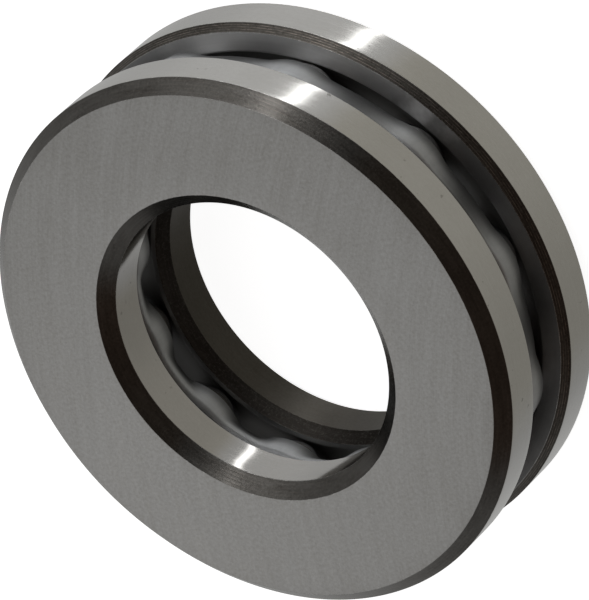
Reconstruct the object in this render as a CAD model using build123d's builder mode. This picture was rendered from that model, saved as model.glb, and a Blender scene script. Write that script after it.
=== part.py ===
from build123d import *
from math import cos, exp, log, radians, sin, sqrt
import os

os.makedirs("parts", exist_ok=True)

# Single-direction thrust ball bearing, 25 x 47 x 15 mm.
# Frame: origin at the centre of the housing washer's back face, +Z along the
# bearing axis towards the shaft washer. Ball 01 lies on +X.

# ---- boundary dimensions ----
bore_d = 25.0              # shaft washer bore, the shaft seat
housing_bore_d = 27.0      # housing washer bore, clears the shaft
outer_d = 47.0             # both washers
height = 15.0              # back face to back face
washer_t = 5.0             # each washer

# ---- washer edges ----
face_chamfer = 1.1         # back face to outer diameter
bore_chamfer_r = 1.2       # back face to bore, measured along the radius
bore_chamfer_z = 1.05      # back face to bore, measured along the axis
land_chamfer_out = 0.6     # raceway side, outer edge
land_chamfer_in = 0.75     # raceway side, bore edge
housing_chamfer_r = 0.95   # housing washer, back face to bore, along the radius
housing_chamfer_z = 0.80   # housing washer, back face to bore, along the axis
housing_land_z = 1.00      # housing washer, raceway side to bore, along the axis

# ---- rolling set ----
ball_d = 7.938             # 5/16 in
ball_count = 12
pitch_r = 18.0
groove_r = 0.54 * ball_d   # raceway cross radius
groove_play = 0.02         # axial play between a ball and each raceway

# ---- pressed cage ----
sheet = 0.45
cage_top = 9.5             # top of the web
cage_rim = 7.0             # lower edge of both walls, just below the ball centres
pocket_r = 3.8             # web hole, smaller than the ball
blend = 5.0                # how sharply a wall turns from wrapping a ball to the stretch between balls
# height, outside radius of the wall about a ball's own axis,
# outer wall between balls, surface facing the axis of the inner wall between balls
cage_steps = [
    (cage_rim, 4.45, 21.82, 14.80),
    (8.0, 4.57, 22.12, 14.12),
    (8.6, 4.57, 22.24, 13.75),
    (cage_top, 4.57, 22.40, 13.55),
]

web_under = cage_top - sheet
channel_steps = [(cage_rim - 0.5,) + cage_steps[0][1:]] + cage_steps[:3] + [(web_under, 4.57, 22.32, 13.65)]
hole_steps = [(cage_rim - 0.5,) + cage_steps[0][1:]] + cage_steps + [(cage_top + 0.5,) + cage_steps[3][1:]]

ball_r = ball_d / 2
mid_z = height / 2
pitch_deg = 360.0 / ball_count
outer_r = outer_d / 2
groove_lo_z = mid_z - ball_r - groove_play + groove_r    # centre of the housing groove's arc


def wall_radius(turn, wrap, between, side):
    """Radius of a wall at an angle from a ball: side +1 outer wall, -1 inner wall."""
    reach = wrap ** 2 - (pitch_r * sin(radians(turn))) ** 2
    near = pitch_r * cos(radians(turn)) + side * (sqrt(reach) if reach > 0 else 0.0)
    return side * log(exp(side * blend * (near - pitch_r)) + exp(side * blend * (between - pitch_r))) / blend + pitch_r


def outline(wrap, between, side):
    """Closed wavy outline of a wall surface, round the whole cage."""
    turns = [0.0, 3.0, 6.0, 8.5, 10.5, 12.0, 13.2, 14.2]
    turns = turns + [15.0] + [30.0 - t for t in reversed(turns[1:])]
    pts = []
    for k in range(ball_count):
        for t in turns:
            d = t if t <= 15.0 else t - 30.0
            r = wall_radius(d, wrap, between, side)
            a = radians(pitch_deg * k + t)
            pts.append((r * cos(a), r * sin(a)))
    return pts


# ---- housing washer: stationary, raceway facing up ----
bore_r = housing_bore_d / 2
with BuildPart() as housing_washer:
    with BuildSketch(Plane.XZ) as housing_section:
        with BuildLine():
            Polyline(
                (bore_r + housing_chamfer_r, 0),
                (outer_r - face_chamfer, 0),
                (outer_r, face_chamfer),
                (outer_r, washer_t - land_chamfer_out),
                (outer_r - land_chamfer_out, washer_t),
                (bore_r + land_chamfer_in, washer_t),
                (bore_r, washer_t - housing_land_z),
                (bore_r, housing_chamfer_z),
                close=True,
            )
        make_face()
        with Locations((pitch_r, groove_lo_z)):
            Circle(groove_r, mode=Mode.SUBTRACT)
    revolve(axis=Axis.Z)
housing_washer.part.label = "housing_washer"
export_step(housing_washer.part, "parts/housing_washer.step")

# ---- shaft washer: turns with the shaft, raceway facing down ----
bore_r = bore_d / 2
with BuildPart() as shaft_washer:
    with BuildSketch(Plane.XZ) as shaft_section:
        with BuildLine():
            Polyline(
                (bore_r + bore_chamfer_r, height),
                (outer_r - face_chamfer, height),
                (outer_r, height - face_chamfer),
                (outer_r, height - washer_t + land_chamfer_out),
                (outer_r - land_chamfer_out, height - washer_t),
                (bore_r + land_chamfer_in, height - washer_t),
                (bore_r, height - washer_t + land_chamfer_in),
                (bore_r, height - bore_chamfer_z),
                close=True,
            )
        make_face()
        with Locations((pitch_r, height - groove_lo_z)):
            Circle(groove_r, mode=Mode.SUBTRACT)
    revolve(axis=Axis.Z)
shaft_washer.part.label = "shaft_washer"
export_step(shaft_washer.part, "parts/shaft_washer.step")

# ---- cage: one pressed sheet, an open-bottomed channel that wraps round every ball ----
with BuildPart() as cage:
    # everything inside the outer wall's outside surface
    for z, wrap, out_r, in_r in cage_steps:
        with BuildSketch(Plane.XY.offset(z)):
            with BuildLine():
                Spline(*outline(wrap, out_r, 1), periodic=True)
            make_face()
    loft(ruled=True)
    # the channel under the web, between the two walls
    with BuildPart(mode=Mode.SUBTRACT) as channel:
        for z, wrap, out_r, in_r in channel_steps:
            with BuildSketch(Plane.XY.offset(z)):
                with BuildLine():
                    Spline(*outline(wrap - sheet, out_r - sheet, 1), periodic=True)
                make_face()
        loft(ruled=True)
        for z, wrap, out_r, in_r in channel_steps:
            with BuildSketch(Plane.XY.offset(z)):
                with BuildLine():
                    Spline(*outline(wrap - sheet, in_r + sheet, -1), periodic=True)
                make_face()
        loft(ruled=True, mode=Mode.SUBTRACT)
    # the opening for the shaft, inside the inner wall
    for z, wrap, out_r, in_r in hole_steps:
        with BuildSketch(Plane.XY.offset(z)):
            with BuildLine():
                Spline(*outline(wrap, in_r, -1), periodic=True)
            make_face()
    loft(ruled=True, mode=Mode.SUBTRACT)
    # pockets
    with BuildSketch(Plane.XY.offset(cage_top + 0.5)):
        with PolarLocations(pitch_r, ball_count):
            Circle(pocket_r)
    extrude(amount=-1.5, mode=Mode.SUBTRACT)
cage.part.label = "cage"
export_step(cage.part, "parts/cage.step")

# ---- balls ----
for k in range(ball_count):
    a = radians(pitch_deg * k)
    with BuildPart() as ball:
        with Locations((pitch_r * cos(a), pitch_r * sin(a), mid_z)):
            Sphere(ball_r)
    ball.part.label = "ball_%02d" % (k + 1)
    export_step(ball.part, "parts/ball_%02d.step" % (k + 1))

print("groove depth", washer_t - (groove_lo_z - groove_r))
print("groove half width", sqrt(groove_r ** 2 - (groove_lo_z - washer_t) ** 2))
print("washer land inner edge to groove", pitch_r - sqrt(groove_r ** 2 - (groove_lo_z - washer_t) ** 2))
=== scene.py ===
import math
import bpy
import numpy as np
from mathutils import Matrix, Vector


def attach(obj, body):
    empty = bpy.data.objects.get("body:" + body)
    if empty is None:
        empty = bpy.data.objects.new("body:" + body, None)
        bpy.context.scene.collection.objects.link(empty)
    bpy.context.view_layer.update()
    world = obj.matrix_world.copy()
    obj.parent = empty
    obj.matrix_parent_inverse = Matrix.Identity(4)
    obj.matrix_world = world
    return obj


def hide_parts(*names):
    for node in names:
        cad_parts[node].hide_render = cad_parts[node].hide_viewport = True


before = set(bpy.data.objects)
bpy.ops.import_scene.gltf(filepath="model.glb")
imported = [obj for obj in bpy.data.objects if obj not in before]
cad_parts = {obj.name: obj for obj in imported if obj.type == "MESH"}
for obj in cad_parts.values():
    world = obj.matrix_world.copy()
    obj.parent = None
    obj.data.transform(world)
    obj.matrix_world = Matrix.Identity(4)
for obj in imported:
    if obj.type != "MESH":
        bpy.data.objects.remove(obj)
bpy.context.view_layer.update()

MM = 0.001
scene = bpy.context.scene

# ------------------------------------------------------------------ sizes, mm
OUT_R = 23.5
HEIGHT = 15.0
WASHER = 5.0
PITCH_R = 18.0
BALL_R = 3.969
GROOVE_R = 0.54 * 7.938
GROOVE_Z = 7.5 - BALL_R - 0.02 + GROOVE_R
BALLS = 12
CAM_AZ = 24.0          # row azimuth the camera stands at, degrees


# ------------------------------------------------------------------ node help
def nodes_of(tree):
    return tree.nodes, tree.links


def new_mat(name):
    m = bpy.data.materials.new(name)
    m.use_nodes = True
    nt = m.node_tree
    nt.nodes.clear()
    out = nt.nodes.new("ShaderNodeOutputMaterial")
    b = nt.nodes.new("ShaderNodeBsdfPrincipled")
    nt.links.new(b.outputs["BSDF"], out.inputs["Surface"])
    return m, nt, b


class N:
    """Short hands for building a node tree."""

    def __init__(self, nt):
        self.nt = nt

    def node(self, kind, **props):
        n = self.nt.nodes.new(kind)
        for k, v in props.items():
            setattr(n, k, v)
        return n

    def link(self, a, b):
        self.nt.links.new(a, b)

    def math(self, op, a, b=None, c=None, clamp=False):
        n = self.node("ShaderNodeMath", operation=op, use_clamp=clamp)
        for i, v in enumerate((a, b, c)):
            if v is None:
                continue
            if isinstance(v, (int, float)):
                n.inputs[i].default_value = v
            else:
                self.link(v, n.inputs[i])
        return n.outputs[0]

    def vmath(self, op, a, b=None, s=None):
        n = self.node("ShaderNodeVectorMath", operation=op)
        for i, v in enumerate((a, b)):
            if v is None:
                continue
            if isinstance(v, (tuple, list)):
                n.inputs[i].default_value = v
            else:
                self.link(v, n.inputs[i])
        if s is not None:
            n.inputs["Scale"].default_value = s
        return n.outputs["Value"] if op in ("DOT_PRODUCT", "LENGTH", "DISTANCE") else n.outputs["Vector"]

    def obj_mm(self):
        """Object coordinates in millimetres."""
        t = self.node("ShaderNodeTexCoord")
        return self.vmath("SCALE", t.outputs["Object"], s=1000.0)

    def sep(self, v):
        n = self.node("ShaderNodeSeparateXYZ")
        self.link(v, n.inputs[0])
        return n.outputs

    def comb(self, x, y, z):
        n = self.node("ShaderNodeCombineXYZ")
        for i, v in enumerate((x, y, z)):
            if isinstance(v, (int, float)):
                n.inputs[i].default_value = v
            else:
                self.link(v, n.inputs[i])
        return n.outputs[0]

    def noise(self, vec, scale, detail=2.0, rough=0.5, dist=0.0):
        n = self.node("ShaderNodeTexNoise", noise_dimensions="3D")
        self.link(vec, n.inputs["Vector"])
        n.inputs["Scale"].default_value = scale
        n.inputs["Detail"].default_value = detail
        n.inputs["Roughness"].default_value = rough
        n.inputs["Distortion"].default_value = dist
        return n.outputs["Fac"]

    def remap(self, v, a, b, c, d, smooth=False):
        n = self.node("ShaderNodeMapRange")
        n.interpolation_type = "SMOOTHSTEP" if smooth else "LINEAR"
        n.clamp = True
        self.link(v, n.inputs["Value"])
        n.inputs["From Min"].default_value = a
        n.inputs["From Max"].default_value = b
        n.inputs["To Min"].default_value = c
        n.inputs["To Max"].default_value = d
        return n.outputs["Result"]

    def mix(self, f, a, b):
        n = self.node("ShaderNodeMix", data_type="RGBA")
        n.clamp_factor = True
        if isinstance(f, (int, float)):
            n.inputs[0].default_value = f
        else:
            self.link(f, n.inputs[0])
        for i, v in ((6, a), (7, b)):
            if isinstance(v, (tuple, list)):
                n.inputs[i].default_value = (*v, 1.0)
            else:
                self.link(v, n.inputs[i])
        return n.outputs[2]

    def bump(self, height, strength, dist, normal=None):
        n = self.node("ShaderNodeBump")
        n.inputs["Strength"].default_value = strength
        n.inputs["Distance"].default_value = dist
        self.link(height, n.inputs["Height"])
        if normal is not None:
            self.link(normal, n.inputs["Normal"])
        return n.outputs["Normal"]

    def attr(self, name):
        n = self.node("ShaderNodeAttribute", attribute_type="GEOMETRY", attribute_name=name)
        return n.outputs["Fac"]

    def polar(self, p):
        """radius, angle and height of a point in millimetres."""
        x, y, z = self.sep(p)
        r = self.math("SQRT", self.math("ADD", self.math("MULTIPLY", x, x), self.math("MULTIPLY", y, y)))
        a = self.math("ARCTAN2", y, x)
        return r, a, z, x, y


# ------------------------------------------------------------------ materials
def face_steel(name, grind_x, grind_y):
    """Flat face ground by a large wheel: fine arcs about a far centre, a light satin."""
    m, nt, b = new_mat(name)
    g = N(nt)
    p = g.obj_mm()
    x, y, z = g.sep(p)
    dx = g.math("SUBTRACT", x, grind_x)
    dy = g.math("SUBTRACT", y, grind_y)
    dist = g.math("SQRT", g.math("ADD", g.math("MULTIPLY", dx, dx), g.math("MULTIPLY", dy, dy)))
    ang = g.math("ARCTAN2", dy, dx)
    fine = g.noise(g.comb(g.math("MULTIPLY", dist, 7.0), g.math("MULTIPLY", ang, 16.0), 0.0), 1.0, 3.0, 0.6)
    broad = g.noise(g.comb(g.math("MULTIPLY", dist, 1.3), g.math("MULTIPLY", ang, 7.0), 3.0), 1.0, 2.0, 0.5)
    mott = g.noise(p, 0.22, 3.0, 0.55)
    grain = g.noise(p, 5.5, 2.0, 0.6)
    pepper = g.noise(p, 3.4, 3.0, 0.75)
    tone = g.math("ADD", g.math("MULTIPLY", g.math("SUBTRACT", broad, 0.5), 0.55),
                  g.math("ADD", g.math("MULTIPLY", g.math("SUBTRACT", mott, 0.5), 0.65),
                         g.math("ADD", g.math("MULTIPLY", g.math("SUBTRACT", fine, 0.5), 0.9),
                                g.math("MULTIPLY", g.math("SUBTRACT", pepper, 0.5), 1.9))))
    col = g.mix(g.math("ADD", tone, 0.5, clamp=True), (0.415, 0.403, 0.386), (0.58, 0.576, 0.568))
    nt.links.new(col, b.inputs["Base Color"])
    b.inputs["Metallic"].default_value = 1.0
    ro = g.math("ADD", g.math("MULTIPLY", g.math("SUBTRACT", fine, 0.5), 0.22),
                g.math("MULTIPLY", g.math("SUBTRACT", mott, 0.5), 0.12))
    nt.links.new(g.math("ADD", ro, 0.36, clamp=True), b.inputs["Roughness"])
    n1 = g.bump(fine, 0.35, 5.0e-6)
    n2 = g.bump(grain, 0.30, 7.0e-6, n1)
    nt.links.new(n2, b.inputs["Normal"])
    return m


def cylinder_steel(name, rough, dark, light):
    """Ground round surface: fine lines that run round the axis."""
    m, nt, b = new_mat(name)
    g = N(nt)
    p = g.obj_mm()
    r, a, z, x, y = g.polar(p)
    lines = g.noise(g.comb(g.math("MULTIPLY", z, 9.0), g.math("MULTIPLY", a, 2.6), g.math("MULTIPLY", r, 0.2)), 1.0, 4.0, 0.65)
    mott = g.noise(p, 0.5, 2.0, 0.5)
    speck = g.noise(p, 6.0, 2.0, 0.6)
    pepper = g.noise(g.comb(g.math("MULTIPLY", a, 60.0), g.math("MULTIPLY", z, 5.0), g.math("MULTIPLY", r, 0.5)), 1.0, 3.0, 0.7)
    tone = g.math("ADD", g.math("MULTIPLY", g.math("SUBTRACT", lines, 0.5), 0.9),
                  g.math("ADD", g.math("MULTIPLY", g.math("SUBTRACT", mott, 0.5), 0.5),
                         g.math("MULTIPLY", g.math("SUBTRACT", pepper, 0.5), 1.1)))
    col = g.mix(g.math("ADD", tone, 0.5, clamp=True), dark, light)
    pit = g.math("MULTIPLY", g.remap(g.noise(p, 1.7, 2.0, 0.5), 0.69, 0.74, 0.0, 1.0, True), g.remap(g.noise(p, 0.25, 1.0, 0.5), 0.5, 0.6, 0.0, 0.38, True))
    col = g.mix(pit, col, (0.08, 0.07, 0.06))
    nt.links.new(col, b.inputs["Base Color"])
    b.inputs["Metallic"].default_value = 1.0
    ro = g.math("ADD", g.math("MULTIPLY", g.math("SUBTRACT", lines, 0.5), 0.12),
                g.math("MULTIPLY", g.math("SUBTRACT", speck, 0.5), 0.05))
    nt.links.new(g.math("ADD", ro, rough, clamp=True), b.inputs["Roughness"])
    b.inputs["Anisotropic"].default_value = 0.55
    b.inputs["Anisotropic Rotation"].default_value = 0.25
    tg = g.node("ShaderNodeTangent", direction_type="RADIAL", axis="Z")
    nt.links.new(tg.outputs[0], b.inputs["Tangent"])
    n1 = g.bump(lines, 0.10, 5.0e-6)
    nt.links.new(n1, b.inputs["Normal"])
    return m


def oxide_steel(name, worn_gain, dark, light, smooth=0.20, dull=0.36):
    """Turned chamfer left dark from hardening: brown-black scale, lighter on the ridges of the tool marks."""
    m, nt, b = new_mat(name)
    g = N(nt)
    p = g.obj_mm()
    r, a, z, x, y = g.polar(p)
    ridge = g.attr("ridge")
    patch = g.noise(g.comb(g.math("MULTIPLY", a, 5.0), g.math("MULTIPLY", z, 1.5), g.math("MULTIPLY", r, 1.5)), 1.0, 4.0, 0.6)
    grit = g.noise(p, 5.0, 4.0, 0.75)
    dash = g.noise(g.comb(g.math("MULTIPLY", a, 26.0), g.math("MULTIPLY", z, 9.0), g.math("MULTIPLY", r, 9.0)), 1.0, 3.0, 0.7)
    worn = g.math("MULTIPLY", g.remap(ridge, 0.55, 1.0, 0.0, 1.0, True), g.remap(dash, 0.42, 0.62, 0.10, 1.0, True))
    base = g.mix(g.remap(patch, 0.3, 0.7, 0.0, 1.0), dark, light)
    base = g.mix(g.remap(grit, 0.50, 0.72, 0.0, 0.55, True), base, (0.20, 0.19, 0.178))
    base = g.mix(g.remap(grit, 0.48, 0.28, 0.0, 0.6, True), base, (0.045, 0.039, 0.034))
    base = g.mix(g.math("MULTIPLY", worn, worn_gain), base, (0.40, 0.34, 0.30))
    nt.links.new(base, b.inputs["Base Color"])
    b.inputs["Metallic"].default_value = 1.0
    nt.links.new(g.remap(grit, 0.25, 0.75, smooth, dull), b.inputs["Roughness"])
    n1 = g.bump(grit, 0.35, 9.0e-6)
    n2 = g.bump(dash, 0.25, 9.0e-6, n1)
    nt.links.new(n2, b.inputs["Normal"])
    return m


def edge_steel(name, dull, bright):
    """Corner between two worked surfaces: a thin line, bright in dashes and dull between them; on the light edges the
    bright dashes are partly wear and partly a painted glint.
    """
    m, nt, b = new_mat(name)
    g = N(nt)
    p = g.obj_mm()
    r, a, z, x, y = g.polar(p)
    dash = g.noise(g.comb(g.math("MULTIPLY", a, 22.0), g.math("MULTIPLY", z, 0.6), g.math("MULTIPLY", r, 0.6)), 1.0, 4.0, 0.75)
    nick = g.noise(p, 2.6, 3.0, 0.7)
    worn = g.math("MULTIPLY", g.remap(dash, 0.50, 0.66, 0.0, 1.0, True), g.remap(nick, 0.40, 0.60, 0.35, 1.0, True))
    base = g.mix(worn, dull, bright)
    nt.links.new(base, b.inputs["Base Color"])
    b.inputs["Metallic"].default_value = 1.0
    nt.links.new(g.remap(nick, 0.3, 0.7, 0.20, 0.36), b.inputs["Roughness"])
    n1 = g.bump(dash, 0.15, 9.0e-6)
    nt.links.new(n1, b.inputs["Normal"])
    return m


def land_steel(name):
    """Turned, hardened and not ground: dull dark grey, with painted light: a stretch over part of the ring is coloured
    much lighter.
    """
    m, nt, b = new_mat(name)
    g = N(nt)
    p = g.obj_mm()
    r, a, z, x, y = g.polar(p)
    mott = g.noise(p, 0.7, 3.0, 0.55)
    grain = g.noise(p, 7.0, 3.0, 0.6)
    lines = g.noise(g.comb(g.math("MULTIPLY", r, 5.0), g.math("MULTIPLY", a, 1.2), 0.0), 1.0, 3.0, 0.6)
    tone = g.math("ADD", g.math("MULTIPLY", g.math("SUBTRACT", mott, 0.5), 0.8), g.math("MULTIPLY", g.math("SUBTRACT", lines, 0.5), 0.6))
    # painted light: between about 0.5 and 1.9 rad of azimuth, with a wobbly edge, the land is painted far lighter
    # (0.72 to 0.90) to stand in for light falling on that side
    edge = g.math("MULTIPLY", g.math("SUBTRACT", g.noise(p, 0.35, 3.0, 0.6), 0.5), 0.5)
    turn = g.math("ADD", a, edge)
    painted_light_and_shade = g.math("MULTIPLY", g.remap(turn, 0.48, 0.72, 0.0, 1.0, True), g.remap(turn, 1.35, 1.9, 1.0, 0.0, True))
    worked = g.mix(g.math("ADD", tone, 0.5, clamp=True), (0.31, 0.31, 0.312), (0.46, 0.46, 0.465))
    bright = g.mix(g.math("ADD", tone, 0.5, clamp=True), (0.72, 0.72, 0.725), (0.90, 0.90, 0.905))
    col = g.mix(painted_light_and_shade, worked, bright)
    nt.links.new(col, b.inputs["Base Color"])
    b.inputs["Metallic"].default_value = 1.0
    nt.links.new(g.remap(grain, 0.2, 0.8, 0.52, 0.66), b.inputs["Roughness"])
    n1 = g.bump(grain, 0.25, 8.0e-6)
    nt.links.new(n1, b.inputs["Normal"])
    return m


def race_steel(name):
    m, nt, b = new_mat(name)
    g = N(nt)
    p = g.obj_mm()
    r, a, z, x, y = g.polar(p)
    lines = g.noise(g.comb(g.math("MULTIPLY", r, 8.0), g.math("MULTIPLY", a, 2.0), g.math("MULTIPLY", z, 8.0)), 1.0, 3.0, 0.6)
    # painted shade: the raceway, really lapped bright, is given a dark, dull, half-metallic finish to stand in for the
    # shade inside the gap
    col = g.mix(lines, (0.19, 0.187, 0.183), (0.26, 0.257, 0.253))
    nt.links.new(col, b.inputs["Base Color"])
    b.inputs["Metallic"].default_value = 1.0
    b.inputs["Metallic"].default_value = 0.55
    nt.links.new(g.remap(lines, 0.2, 0.8, 0.44, 0.56), b.inputs["Roughness"])
    return m


def cage_steel(name):
    """Pressed sheet, dull, with painted shade: near black low on the walls and in the folds between balls, lighter on
    the lobes over the balls and at the top bend.
    """
    m, nt, b = new_mat(name)
    g = N(nt)
    p = g.obj_mm()
    mott = g.noise(p, 0.9, 3.0, 0.55)
    grain = g.noise(p, 5.0, 3.0, 0.7)
    r, a, z, x, y = g.polar(p)
    draw = g.noise(g.comb(g.math("MULTIPLY", a, 60.0), g.math("MULTIPLY", z, 0.8), r), 1.0, 2.0, 0.5)
    tone = g.math("ADD", g.math("MULTIPLY", g.math("SUBTRACT", mott, 0.5), 0.8), g.math("MULTIPLY", g.math("SUBTRACT", draw, 0.5), 0.5))
    col = g.mix(g.math("ADD", tone, 0.5, clamp=True), (0.43, 0.44, 0.455), (0.56, 0.57, 0.585))
    # painted shade: below, the sheet is blended towards near black (0.028) low on the walls and in the pinches between
    # balls, where the washers shade it; it stays light on the lobes over the balls and at the top bend
    lobe = g.math("MULTIPLY_ADD", g.math("COSINE", g.math("MULTIPLY", a, 12.0)), 0.5, 0.5)
    lobe = g.remap(lobe, 0.0, 0.85, 0.0, 1.0)
    on_ball = g.remap(z, 7.05, 8.6, 0.26, 1.0, True)
    outer = g.remap(r, 17.0, 19.0, 0.0, 1.0)
    between = g.math("ADD", g.math("MULTIPLY", g.remap(z, 7.4, 9.2, 0.12, 0.30), outer),
                     g.math("MULTIPLY", g.remap(z, 7.7, 9.1, 0.10, 1.0, True), g.math("SUBTRACT", 1.0, outer)))
    painted_light_and_shade = g.math("ADD", g.math("MULTIPLY", on_ball, lobe),
                   g.math("MULTIPLY", between, g.math("SUBTRACT", 1.0, lobe)))
    painted_light_and_shade = g.math("MAXIMUM", painted_light_and_shade, g.remap(z, 9.3, 9.48, 0.0, 0.9, True))
    col = g.mix(painted_light_and_shade, (0.028, 0.028, 0.029), col)
    nt.links.new(col, b.inputs["Base Color"])
    b.inputs["Metallic"].default_value = 1.0
    nt.links.new(g.remap(grain, 0.2, 0.8, 0.50, 0.64), b.inputs["Roughness"])
    n1 = g.bump(grain, 0.25, 8.0e-6)
    n2 = g.bump(draw, 0.10, 1.2e-5, n1)
    nt.links.new(n2, b.inputs["Normal"])
    return m


def ball_steel(name):
    m, nt, b = new_mat(name)
    g = N(nt)
    p = g.obj_mm()
    mott = g.noise(p, 1.2, 3.0, 0.5)
    col = g.mix(mott, (0.44, 0.44, 0.44), (0.50, 0.50, 0.505))
    nt.links.new(col, b.inputs["Base Color"])
    b.inputs["Metallic"].default_value = 1.0
    nt.links.new(g.remap(mott, 0.3, 0.7, 0.05, 0.09), b.inputs["Roughness"])
    return m


FACE_A = face_steel("face_ground", 78.0, -40.0)
FACE_B = face_steel("face_ground_rear", -64.0, 52.0)
CYL = cylinder_steel("round_ground", 0.15, (0.53, 0.52, 0.50), (0.60, 0.595, 0.58))
# partly painted shade: the bore is coloured darker than the outside round, partly for its finish and partly for the
# shade inside the ring
BORE_SHADED = cylinder_steel("bore_ground_painted_shade", 0.13, (0.41, 0.40, 0.385), (0.48, 0.47, 0.455))
BORE_REAR = cylinder_steel("bore_turned", 0.46, (0.066, 0.060, 0.050), (0.108, 0.100, 0.089))
OXIDE = oxide_steel("chamfer_scale", 0.16, (0.091, 0.085, 0.078), (0.142, 0.136, 0.128), 0.13, 0.27)
# partly painted shade: a darker copy of the scale for the chamfers at the bore on the raceway side, down inside the
# gap; the dark scale itself is real
OXIDE_SHADED = oxide_steel("chamfer_scale_shaded", 0.10, (0.045, 0.040, 0.036), (0.070, 0.064, 0.058), 0.34, 0.5)
OXIDE_TURNED = oxide_steel("chamfer_scale_turned", 0.95, (0.072, 0.065, 0.058), (0.112, 0.105, 0.096), 0.24, 0.37)
RACE_SHADED = race_steel("raceway_painted_shade")
CAGE = cage_steel("cage_sheet")
BALL = ball_steel("ball_lapped")


# ------------------------------------------------------------------ washers
def section(corners):
    """corners: (r, z, rounding radius, kind of the edge that starts here). Returns points, kinds, ridge values."""
    pts, kinds, ridge = [], [], []
    n = len(corners)
    for i in range(n):
        p0 = np.array(corners[i - 1][:2], float)
        p1 = np.array(corners[i][:2], float)
        p2 = np.array(corners[(i + 1) % n][:2], float)
        rad = corners[i][2]
        u = (p0 - p1) / np.linalg.norm(p0 - p1)
        v = (p2 - p1) / np.linalg.norm(p2 - p1)
        half = math.acos(max(-1.0, min(1.0, float(u @ v)))) / 2
        t = rad / math.tan(half)
        c = p1 + (u + v) / np.linalg.norm(u + v) * (rad / math.sin(half))
        a, b = p1 + u * t, p1 + v * t
        a0 = math.atan2(*(a - c)[::-1])
        a1 = math.atan2(*(b - c)[::-1])
        d = (a1 - a0 + math.pi) % (2 * math.pi) - math.pi
        for k in range(7):
            w = a0 + d * k / 6
            pts.append((c[0] + rad * math.cos(w), c[1] + rad * math.sin(w)))
            kinds.append("edge" if k < 6 else corners[i][3])
            ridge.append(0.6)
    # the loop so far has only corner arcs; fill the edges between them
    full_p, full_k, full_r = [], [], []
    m = len(pts)
    for i in range(m):
        full_p.append(pts[i])
        full_k.append(kinds[i])
        full_r.append(ridge[i])
        if kinds[i] == "edge":
            continue
        p, q = np.array(pts[i]), np.array(pts[(i + 1) % m])
        length = float(np.linalg.norm(q - p))
        along = (q - p) / length
        out = np.array((along[1], -along[0]))      # the loop runs with the solid on its left
        if kinds[i] in ("turned", "scale", "deep"):
            grooves = max(3, round(length / (0.20 if kinds[i] == "turned" else 0.31)))
            deep = 0.020 if kinds[i] == "turned" else 0.003
            per = 6
            for k in range(1, grooves * per):
                s = k / (grooves * per)
                h = abs(math.sin(math.pi * s * grooves))       # scallop: sharp ridges, round valleys
                fade = min(1.0, 6 * s, 6 * (1 - s))
                q2 = p + along * length * s - out * deep * h * fade
                full_p.append((q2[0], q2[1]))
                full_k.append(kinds[i])
                full_r.append(1.0 - h)
        elif kinds[i] == "face":
            for k in range(1, 6):
                q2 = p + along * length * k / 6
                full_p.append((q2[0], q2[1]))
                full_k.append("face")
                full_r.append(0.5)
        elif kinds[i] in ("round", "bore"):
            for k in range(1, 5):
                q2 = p + along * length * k / 5
                full_p.append((q2[0], q2[1]))
                full_k.append(kinds[i])
                full_r.append(0.5)
    return full_p, full_k, full_r


def raceway_in(pts, kinds, ridge, land_z, centre_z, up):
    """Cuts the ball groove into the land: replaces the land's inner part by the groove's arc."""
    half = math.sqrt(GROOVE_R ** 2 - (centre_z - land_z) ** 2)
    lo, hi = PITCH_R - half, PITCH_R + half
    keep_p, keep_k, keep_r, done = [], [], [], False
    m = len(pts)
    for i in range(m):
        r, z = pts[i]
        inside = abs(z - land_z) < 1e-6 and lo - 0.15 < r < hi + 0.15 and kinds[i] in ("face", "land")
        if not inside:
            keep_p.append(pts[i])
            keep_k.append(kinds[i])
            keep_r.append(ridge[i])
    # find where the land edge starts and put the arc after it
    out_p, out_k, out_r = [], [], []
    m = len(keep_p)
    for i in range(m):
        out_p.append(keep_p[i])
        out_k.append(keep_k[i])
        out_r.append(keep_r[i])
        q = keep_p[(i + 1) % m]
        if keep_k[i] == "land" and not done:
            done = True
            first = hi if keep_p[i][0] > q[0] else lo
            second = lo if first == hi else hi
            sgn = -1.0 if up else 1.0
            lip = 0.07
            steps = 40
            start = math.atan2(land_z - centre_z, first - PITCH_R)
            end = math.atan2(land_z - centre_z, second - PITCH_R)
            d = end - start
            if up and d > 0:
                d -= 2 * math.pi
            if up and d < -math.pi:
                pass
            if not up and d < 0:
                d += 2 * math.pi
            if abs(d) > math.pi * 1.2:
                d = d - math.copysign(2 * math.pi, d)
            side = 1.0 if first > PITCH_R else -1.0
            out_k[-1] = "land"
            out_p.append((first + side * lip, land_z)); out_k.append("land"); out_r.append(0.6)
            out_p.append((first + side * lip * 0.35, land_z + sgn * 0.012)); out_k.append("land"); out_r.append(0.6)
            for k in range(1, steps):
                w = start + d * k / steps
                out_p.append((PITCH_R + GROOVE_R * math.cos(w), centre_z + GROOVE_R * math.sin(w)))
                out_k.append("race"); out_r.append(0.5)
            out_k[-1] = "race"
            out_p.append((second - side * lip * 0.35, land_z + sgn * 0.012)); out_k.append("land"); out_r.append(0.6)
            out_p.append((second - side * lip, land_z)); out_k.append("land"); out_r.append(0.5)
    return out_p, out_k, out_r


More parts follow.
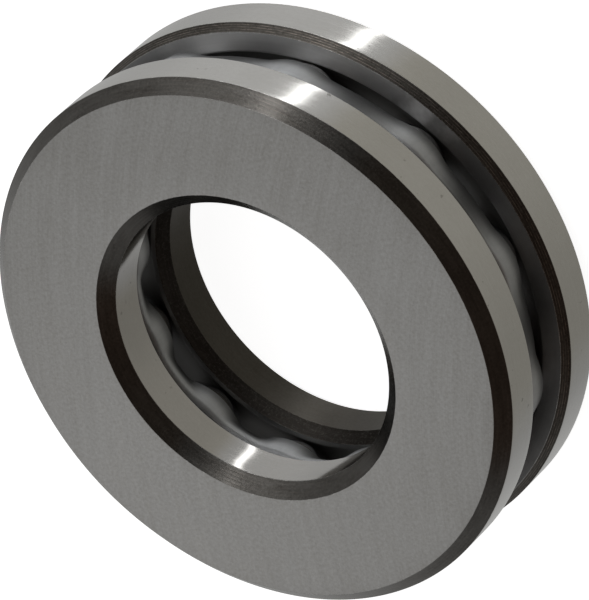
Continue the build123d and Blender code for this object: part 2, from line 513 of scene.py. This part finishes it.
def lathe(name, pts, kinds, ridge, mats, steps=384):
    """Turns a closed section about Z. mats: kind -> material."""
    m = len(pts)
    ang = np.arange(steps) * 2 * math.pi / steps
    P = np.array(pts) * MM
    co = np.empty((steps, m, 3))
    co[..., 0] = np.cos(ang)[:, None] * P[None, :, 0]
    co[..., 1] = np.sin(ang)[:, None] * P[None, :, 0]
    co[..., 2] = P[None, :, 1]
    idx = np.arange(steps * m).reshape(steps, m)
    nxt = np.roll(idx, -1, 0)
    quads = np.stack([idx, nxt, np.roll(nxt, -1, 1), np.roll(idx, -1, 1)], -1).reshape(-1, 4)
    # outward normals: the section has the solid on its left in (r, z)
    me = bpy.data.meshes.new(name)
    me.from_pydata(co.reshape(-1, 3).tolist(), [], quads.tolist())
    order, slots = [], {}
    for k in kinds:
        mt = mats[k]
        if mt.name not in slots:
            slots[mt.name] = len(order)
            order.append(mt)
            me.materials.append(mt)
    mi = np.tile(np.array([slots[mats[k].name] for k in kinds], np.int32), steps)
    me.polygons.foreach_set("material_index", mi)
    me.polygons.foreach_set("use_smooth", np.ones(len(me.polygons), bool))
    at = me.attributes.new("ridge", "FLOAT", "POINT")
    at.data.foreach_set("value", np.tile(np.array(ridge, np.float32), steps))
    me.update()
    me.validate()
    o = bpy.data.objects.new(name, me)
    scene.collection.objects.link(o)
    return o


def signed_area(pts):
    return 0.5 * sum(pts[i - 1][0] * pts[i][1] - pts[i][0] * pts[i - 1][1] for i in range(len(pts)))


def washer(name, bore_r, back_r, back_z, land_z, flip, face_mat, bore_mat):
    """A ring with its back face down at z 0 and its raceway up; flip turns it over to the top of the bearing."""
    e = 0.06
    corners = [
        (bore_r + back_r, 0.0, e, "face"),
        (OUT_R - 1.1, 0.0, e, "scale"),
        (OUT_R, 1.1, e, "round"),
        (OUT_R, WASHER - 0.6, e, "turned"),
        (OUT_R - 0.6, WASHER, e, "land"),
        (bore_r + 0.75, WASHER, e, "deep"),
        (bore_r, WASHER - land_z, e, "bore"),
        (bore_r, back_z, e, "scale"),
    ]
    pts, kinds, ridge = section(corners)
    pts, kinds, ridge = raceway_in(pts, kinds, ridge, WASHER, GROOVE_Z, True)
    if flip:
        pts = [(r, HEIGHT - z) for r, z in pts][::-1]
        kinds = kinds[::-1]
        kinds = kinds[1:] + kinds[:1]
        ridge = ridge[::-1]
    if not flip:        # the hidden bore edges of the rear ring are as dark as its bore
        kinds = ["edge_dark" if k == "edge" and r < bore_r + 1.2 else k for k, (r, z) in zip(kinds, pts)]
    mats = {"edge_dark": EDGE_DARK, "face": face_mat, "land": RACE_LAND, "round": CYL, "bore": bore_mat, "turned": OXIDE_TURNED, "scale": OXIDE, "deep": OXIDE_SHADED, "edge": EDGE_WORN_GLINT, "race": RACE_SHADED}
    return lathe(name, pts, kinds, ridge, mats)


# partly painted highlight: the bright dashes (0.80) stand in partly for wear and partly for glints along the edges
EDGE_WORN_GLINT = edge_steel("edge_worn_and_glint", (0.40, 0.39, 0.38), (0.80, 0.79, 0.77))
EDGE_DARK = edge_steel("edge_dark", (0.085, 0.078, 0.070), (0.17, 0.158, 0.145))
RACE_LAND = land_steel("land_hardened_painted_light")

rear = washer("housing_washer_ring", 13.5, 0.95, 0.80, 1.00, False, FACE_B, BORE_REAR)
front = washer("shaft_washer_ring", 12.5, 1.20, 1.05, 0.75, True, FACE_A, BORE_SHADED)
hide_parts("housing_washer")
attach(rear, "housing_washer")
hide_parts("shaft_washer")
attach(front, "shaft_washer")


# ------------------------------------------------------------------ cage
CAGE_TOP = 9.5
CAGE_RIM = 7.0
SHEET = 0.45
WRAP = 4.57            # outside surface of a wall, measured from a ball's own axis
# height, wall's radius about a ball, outer wall between balls, inner wall between balls
CAGE_STEPS = ((9.5, 4.57, 22.40, 13.52), (8.6, 4.57, 22.24, 13.66), (8.0, 4.57, 22.12, 14.00), (7.0, 4.45, 21.82, 14.74))


def wrap(deg, rho, side):
    t = math.radians((deg + 15.0) % 30.0 - 15.0)
    q = rho * rho - (PITCH_R * math.sin(t)) ** 2
    return PITCH_R * math.cos(t) + side * (math.sqrt(q) if q > 0 else 0.0)


def outer_wall(deg, rho, pinch, k=5.0):
    w = wrap(deg, rho, 1.0)
    m = max(w, pinch)
    return m + math.log(math.exp(k * (w - m)) + math.exp(k * (pinch - m))) / k


def inner_wall(deg, rho, pinch, k=5.0):
    w = wrap(deg, rho, -1.0)
    m = min(w, pinch)
    return m - math.log(math.exp(k * (m - w)) + math.exp(k * (m - pinch))) / k


def cage_at(z):
    """Wall sizes at a height, eased between the steps."""
    st = CAGE_STEPS
    if z >= st[0][0]:
        return st[0][1:]
    for hi, lo in zip(st, st[1:]):
        if z >= lo[0]:
            f = (hi[0] - z) / (hi[0] - lo[0])
            return tuple(p + (q - p) * f for p, q in zip(hi[1:], lo[1:]))
    return st[-1][1:]


def cage_mesh():
    """Pressed sheet: a web and two walls that wrap round every ball and are pressed together between balls."""
    top, t = CAGE_TOP, SHEET
    per = 48                      # columns in each ball's sector
    cols = BALLS * per
    bend = 0.52                   # outside radius of the two bends
    b2 = bend - t
    z1 = top - bend
    zs = [CAGE_RIM + 0.08 + (z1 - CAGE_RIM - 0.08) * k / 14 for k in range(15)]
    verts, faces = [], []
    ring_len = None
    for i in range(cols):
        a = 360.0 * i / cols

        def oo(z):
            rho, po, pi_ = cage_at(z)
            return outer_wall(a, rho, po)

        def oi(z):
            rho, po, pi_ = cage_at(z)
            return outer_wall(a, rho - t, po - t)

        def ii(z):
            rho, po, pi_ = cage_at(z)
            return inner_wall(a, rho, pi_)

        def io(z):
            rho, po, pi_ = cage_at(z)
            return inner_wall(a, rho - t, pi_ + t)

        path = [(oo(z), z) for z in zs]
        c = oo(z1) - bend
        for k in range(1, 9):
            w = math.radians(90 * k / 8)
            path.append((c + bend * math.cos(w), z1 + bend * math.sin(w)))
        d = ii(z1) + bend
        for k in range(1, 24):
            path.append((c + (d - c) * k / 24, top))
        for k in range(0, 8):
            w = math.radians(90 + 90 * k / 8)
            path.append((d + bend * math.cos(w), z1 + bend * math.sin(w)))
        path += [(ii(z), z) for z in reversed(zs)]
        path.append((ii(CAGE_RIM) + 0.08, CAGE_RIM))
        path.append((io(CAGE_RIM) - 0.08, CAGE_RIM))
        path += [(io(z), z) for z in zs]
        d = io(z1) + b2
        for k in range(1, 9):
            w = math.radians(180 - 90 * k / 8)
            path.append((d + b2 * math.cos(w), z1 + b2 * math.sin(w)))
        c = oi(z1) - b2
        for k in range(1, 24):
            path.append((d + (c - d) * k / 24, top - t))
        for k in range(0, 8):
            w = math.radians(90 - 90 * k / 8)
            path.append((c + b2 * math.cos(w), z1 + b2 * math.sin(w)))
        path += [(oi(z), z) for z in reversed(zs)]
        path.append((oi(CAGE_RIM) + 0.08, CAGE_RIM))
        path.append((oo(CAGE_RIM) - 0.08, CAGE_RIM))
        ring_len = len(path)
        ca, sa = math.cos(math.radians(a)), math.sin(math.radians(a))
        verts += [(r * ca * MM, r * sa * MM, z * MM) for r, z in path]
    for i in range(cols):
        j = (i + 1) % cols
        for k in range(ring_len):
            l = (k + 1) % ring_len
            faces.append((i * ring_len + k, i * ring_len + l, j * ring_len + l, j * ring_len + k))
    me = bpy.data.meshes.new("cage_sheet")
    me.from_pydata(verts, [], faces)
    me.update()
    me.validate()
    return me


cage_me = cage_mesh()
cage = bpy.data.objects.new("cage_pressed", cage_me)
scene.collection.objects.link(cage)
# pockets
bpy.ops.object.select_all(action="DESELECT")
cut_v, cut_f = [], []
seg = 96
for k in range(BALLS):
    a = math.radians(360.0 * k / BALLS)
    cx, cy = PITCH_R * math.cos(a), PITCH_R * math.sin(a)
    base = len(cut_v)
    for z in (8.3, 10.2):
        for s in range(seg):
            w = 2 * math.pi * (s + 0.5) / seg
            cut_v.append(((cx + 3.8 * math.cos(w)) * MM, (cy + 3.8 * math.sin(w)) * MM, z * MM))
    for s in range(seg):
        t = (s + 1) % seg
        cut_f.append((base + s, base + t, base + seg + t, base + seg + s))
    cut_f.append(tuple(base + s for s in reversed(range(seg))))
    cut_f.append(tuple(base + seg + s for s in range(seg)))
cut_me = bpy.data.meshes.new("cage_cutter")
cut_me.from_pydata(cut_v, [], cut_f)
cut_me.update()
cutter = bpy.data.objects.new("cage_cutter", cut_me)
scene.collection.objects.link(cutter)
mod = cage.modifiers.new("pockets", "BOOLEAN")
mod.operation = "DIFFERENCE"
mod.solver = "EXACT"
mod.object = cutter
bpy.context.view_layer.update()
dg = bpy.context.evaluated_depsgraph_get()
done = bpy.data.meshes.new_from_object(cage.evaluated_get(dg))
cage.modifiers.clear()
cage.data = done
bpy.data.objects.remove(cutter)
cage.data.materials.clear()
cage.data.materials.append(CAGE)
cage.data.polygons.foreach_set("use_smooth", np.ones(len(cage.data.polygons), bool))
cage.data.set_sharp_from_angle(angle=math.radians(38))
cage.data.update()
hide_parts("cage")
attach(cage, "cage")

# ------------------------------------------------------------------ balls
for k in range(BALLS):
    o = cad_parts["ball_%02d" % (k + 1)]
    o.data.materials.clear()
    o.data.materials.append(BALL)

# ------------------------------------------------------------------ floor
fm, fnt, fb = new_mat("floor_pale")
fb.inputs["Base Color"].default_value = (0.85, 0.85, 0.85, 1)
fb.inputs["Roughness"].default_value = 0.9
fb.inputs["Specular IOR Level"].default_value = 0.0
fb.inputs["Emission Color"].default_value = (1, 1, 1, 1)
fb.inputs["Emission Strength"].default_value = 0.93
me = bpy.data.meshes.new("floor")
S = 4.0
me.from_pydata([(-S, -S, -2e-5), (S, -S, -2e-5), (S, S, -2e-5), (-S, S, -2e-5)], [], [(0, 1, 2, 3)])
me.materials.append(fm)
floor = bpy.data.objects.new("floor", me)
scene.collection.objects.link(floor)
floor.visible_glossy = False
floor.visible_shadow = False

# ------------------------------------------------------------------ surroundings
world = bpy.data.worlds.new("tent")
scene.world = world
world.use_nodes = True
wnt = world.node_tree
wnt.nodes.clear()
w = N(wnt)
wout = w.node("ShaderNodeOutputWorld")
bg = w.node("ShaderNodeBackground")
wnt.links.new(bg.outputs[0], wout.inputs["Surface"])
tc = w.node("ShaderNodeTexCoord")
d = w.vmath("NORMALIZE", tc.outputs["Generated"])


def direction(delta, elev):
    a, e = math.radians(CAM_AZ + delta), math.radians(elev)
    return (math.cos(a) * math.cos(e), math.sin(a) * math.cos(e), math.sin(e))


def scaled(v, col):
    n = w.node("ShaderNodeVectorMath", operation="SCALE")
    n.inputs[0].default_value = col
    w.link(v, n.inputs["Scale"])
    return n.outputs[0]


def ring_of_cards(stops):
    """Colour by compass angle round the bearing, from the side the camera stands at."""
    n = w.node("ShaderNodeValToRGB")
    n.color_ramp.interpolation = "LINEAR"
    el = n.color_ramp.elements
    while len(el) > 1:
        el.remove(el[-1])
    for i, (deg, v, tint) in enumerate(stops):
        e = el[0] if i == 0 else el.new((deg + 180.0) / 360.0)
        e.position = (deg + 180.0) / 360.0
        e.color = (v * tint[0], v * tint[1], v * tint[2], 1.0)
    return n


F0 = direction(0, 0)
L0 = direction(90, 0)
compass = w.math("ARCTAN2", w.vmath("DOT_PRODUCT", d, L0), w.vmath("DOT_PRODUCT", d, F0))
turnf = w.math("MULTIPLY_ADD", compass, 1.0 / (2 * math.pi), 0.5)
dx, dy, dz = w.sep(d)
WARM = (1.0, 0.968, 0.872)
PALE = (1.0, 1.0, 0.985)
BROWN = (1.0, 0.75, 0.60)
DUSK = (1.0, 0.85, 0.72)
low = ring_of_cards([
    (-180, 0.47, PALE), (-150, 0.43, PALE), (-132, 0.385, PALE), (-120, 0.33, PALE), (-96, 0.275, WARM), (-72, 0.285, WARM),
    (-48, 0.32, WARM), (-24, 0.36, WARM), (0, 0.375, WARM), (24, 0.38, WARM), (38, 0.41, WARM), (48, 0.52, PALE),
    (64, 0.60, PALE), (80, 0.60, PALE), (96, 0.60, PALE), (108, 0.57, PALE), (120, 0.51, PALE), (144, 0.45, PALE), (160, 0.45, PALE), (180, 0.47, PALE)])
high = ring_of_cards([
    (-180, 0.33, PALE), (-150, 0.32, PALE), (-124, 0.30, PALE), (-112, 0.24, PALE), (-98, 0.105, BROWN), (-60, 0.080, BROWN),
    (0, 0.092, DUSK), (16, 0.095, DUSK), (28, 0.12, PALE), (40, 0.26, PALE), (50, 0.52, PALE), (66, 0.74, PALE),
    (84, 0.68, PALE), (98, 0.46, PALE), (112, 0.36, PALE), (130, 0.33, PALE), (160, 0.33, PALE), (180, 0.33, PALE)])
wnt.links.new(turnf, low.inputs[0])
wnt.links.new(turnf, high.inputs[0])
acc = w.mix(w.remap(dz, -0.42, 0.12, 0.0, 1.0, True), low.outputs[0], high.outputs[0])
# a tall narrow light standing to the left of the camera
flat = w.vmath("NORMALIZE", w.comb(dx, dy, 0.0))
near = w.vmath("DOT_PRODUCT", flat, direction(59.4, 0))
strip = w.math("MULTIPLY", w.remap(near, math.cos(math.radians(3.6)), math.cos(math.radians(1.7)), 0.0, 1.0, True),
               w.math("MULTIPLY", w.remap(dz, -0.86, -0.78, 0.0, 1.0, True), w.remap(dz, 0.74, 0.66, 0.0, 1.0, True)))
acc = w.vmath("ADD", acc, scaled(strip, (2.9, 2.9, 2.9)))
shade = w.remap(dz, -0.97, -0.85, 0.25, 1.0, True)
wnt.links.new(w.vmath("MULTIPLY", acc, scaled(shade, (1.0, 1.0, 1.0))), bg.inputs["Color"])
bg.inputs["Strength"].default_value = 1.0


def sun(name, delta, elev, strength, angle, color=(1, 1, 1)):
    l = bpy.data.lights.new(name, "SUN")
    l.energy = strength
    l.angle = math.radians(angle)
    l.color = color
    o = bpy.data.objects.new(name, l)
    scene.collection.objects.link(o)
    o.rotation_mode = "QUATERNION"
    o.rotation_quaternion = Vector(direction(delta, elev)).to_track_quat("Z", "Y")
    return o




def panel(name, target, delta, elev, dist, size, energy, color=(1, 1, 1)):
    l = bpy.data.lights.new(name, "AREA")
    l.shape = "DISK"
    l.size = size
    l.energy = energy
    l.color = color
    o = bpy.data.objects.new(name, l)
    scene.collection.objects.link(o)
    v = Vector(direction(delta, elev))
    o.location = Vector(target) + v * dist
    o.rotation_mode = "QUATERNION"
    o.rotation_quaternion = v.to_track_quat("Z", "Y")
    o.visible_camera = False
    return o


# lights the bottom of the near face a little more than its top
F3 = Vector(direction(0, 0))
P3 = F3.cross(Vector((0, 0, 1)))
panel("side_fill", Vector((0.0, 0.0, 0.015)) - F3 * 0.024 + P3 * 0.008, 180, 45.5, 0.20, 0.06, 0.0032)

# ------------------------------------------------------------------ camera
cam = bpy.data.cameras.new("camera")
cam.sensor_width = 36.0
cam.sensor_fit = "AUTO"
cam.lens = 399.897
cam.clip_start, cam.clip_end = 0.05, 20.0
co = bpy.data.objects.new("camera", cam)
scene.collection.objects.link(co)
turn = Matrix.Rotation(math.radians(-15.0), 3, "Z")
R = turn @ Matrix(((0.838949, -0.073598, 0.539211), (-0.203558, 0.876453, 0.436342), (-0.504707, -0.475829, 0.720318)))
co.rotation_mode = "QUATERNION"
co.rotation_quaternion = R.to_quaternion()
co.location = turn @ Vector((0.285832, 0.231447, 0.388931))
scene.camera = co

scene.view_settings.view_transform = "Standard"
scene.view_settings.look = "None"
scene.view_settings.exposure = 0.0
scene.view_settings.gamma = 1.0
